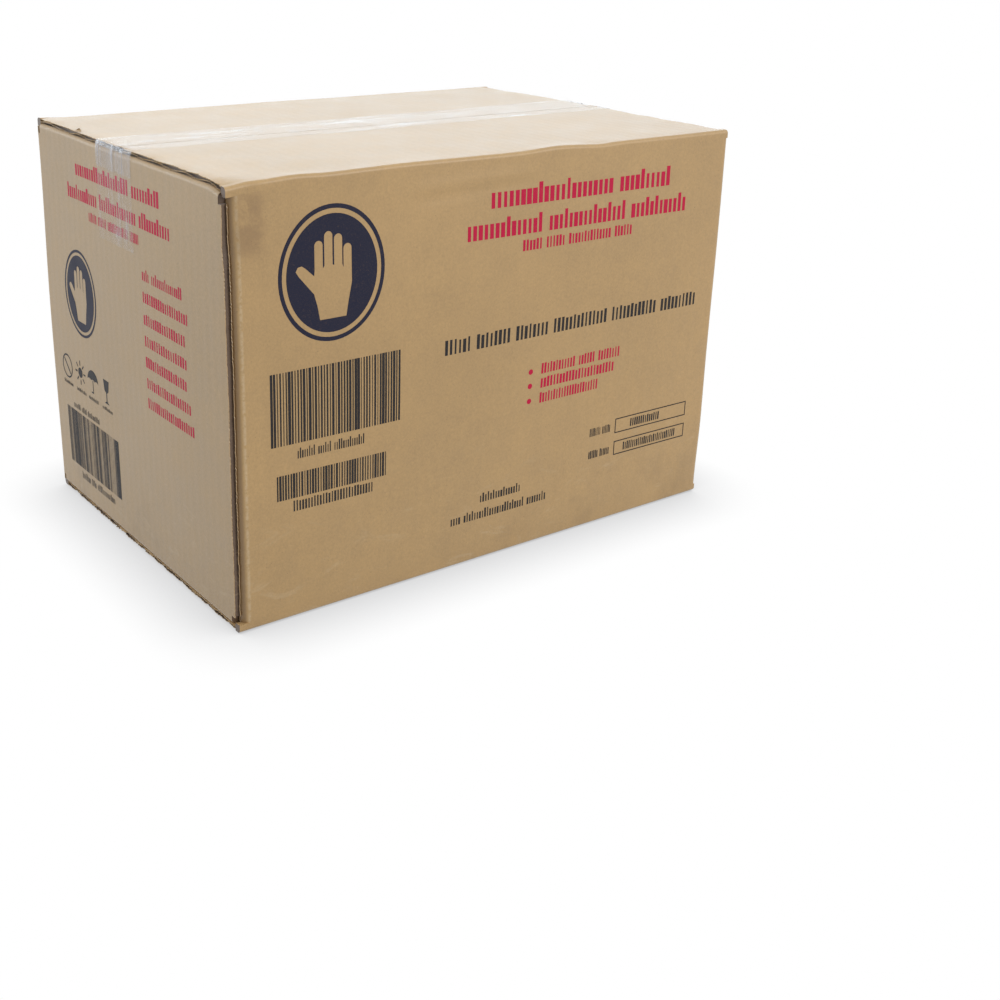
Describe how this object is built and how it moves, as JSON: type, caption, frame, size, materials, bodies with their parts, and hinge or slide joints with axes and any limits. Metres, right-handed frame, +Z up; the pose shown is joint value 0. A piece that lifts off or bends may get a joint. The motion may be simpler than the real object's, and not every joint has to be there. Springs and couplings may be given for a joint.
{
  "type": "packed corrugated shipping case of disposable gloves",
  "caption": "Sealed corrugated shipping case with hinged top flaps and clear tape, packed with dispenser cartons of disposable gloves.",
  "frame": {"origin": "middle of the base, on the surface the case stands on", "axes": "+Z up, X along the long side, -Y out of the broad printed panel seen at the right of the picture, -X out of the small end panel with the maker's joint at its front edge"},
  "size_m": [0.3554, 0.247, 0.2462],
  "materials": {
    "kraft_board": "matte",
    "clear_tape": "gloss",
    "carton_board": "satin",
    "nitrile": "matte"
  },
  "bodies": {
    "case": {"front_panel": "kraft_board", "back_panel": "kraft_board", "left_panel": "kraft_board", "right_panel": "kraft_board", "glue_tab": "kraft_board", "bottom_major_flap_front": "kraft_board", "bottom_major_flap_back": "kraft_board", "bottom_minor_flap_left": "kraft_board", "bottom_minor_flap_right": "kraft_board", "tape_under_end_left": "clear_tape", "tape_over_end_left": "clear_tape", "tape_under_end_right": "clear_tape", "tape_over_end_right": "clear_tape", "dispenser_lower_1": "carton_board", "dispenser_lower_2": "carton_board", "dispenser_lower_3": "carton_board", "dispenser_lower_4": "carton_board", "dispenser_lower_5": "carton_board", "dispenser_upper_1": "carton_board", "dispenser_upper_2": "carton_board", "dispenser_upper_3": "carton_board", "dispenser_upper_4": "carton_board", "dispenser_upper_5": "carton_board", "tear_out_lower_1": "carton_board", "tear_out_lower_2": "carton_board", "tear_out_lower_3": "carton_board", "tear_out_lower_4": "carton_board", "tear_out_lower_5": "carton_board", "tear_out_upper_1": "carton_board", "tear_out_upper_2": "carton_board", "tear_out_upper_3": "carton_board", "tear_out_upper_4": "carton_board", "tear_out_upper_5": "carton_board", "glove_stack_lower_1": "nitrile", "glove_stack_lower_2": "nitrile", "glove_stack_lower_3": "nitrile", "glove_stack_lower_4": "nitrile", "glove_stack_lower_5": "nitrile", "glove_stack_upper_1": "nitrile", "glove_stack_upper_2": "nitrile", "glove_stack_upper_3": "nitrile", "glove_stack_upper_4": "nitrile", "glove_stack_upper_5": "nitrile"},
    "front_flap": {"top_major_flap_front": "kraft_board", "tape_under_front": "clear_tape", "tape_over_front": "clear_tape"},
    "back_flap": {"top_major_flap_back": "kraft_board", "tape_under_back": "clear_tape", "tape_over_back": "clear_tape"},
    "left_flap": {"top_minor_flap_left": "kraft_board"},
    "right_flap": {"top_minor_flap_right": "kraft_board"}
  },
  "joints": [
    {"name": "front_flap_crease", "type": "hinge", "parent": "case", "child": "front_flap", "pos_m": [0, -0.1235, 0.246], "axis": [1, 0, 0], "range_deg": [0, 255]},
    {"name": "back_flap_crease", "type": "hinge", "parent": "case", "child": "back_flap", "pos_m": [0, 0.1235, 0.246], "axis": [-1, 0, 0], "range_deg": [0, 255]},
    {"name": "left_flap_crease", "type": "hinge", "parent": "case", "child": "left_flap", "pos_m": [-0.1775, 0, 0.2378], "axis": [0, -1, 0], "range_deg": [-2.5, 0], "stiffness_Nm_per_rad": 0.02, "springref_deg": 89.95},
    {"name": "right_flap_crease", "type": "hinge", "parent": "case", "child": "right_flap", "pos_m": [0.1775, 0, 0.2378], "axis": [0, 1, 0], "range_deg": [-2.5, 0], "stiffness_Nm_per_rad": 0.02, "springref_deg": 89.95}
  ]
}
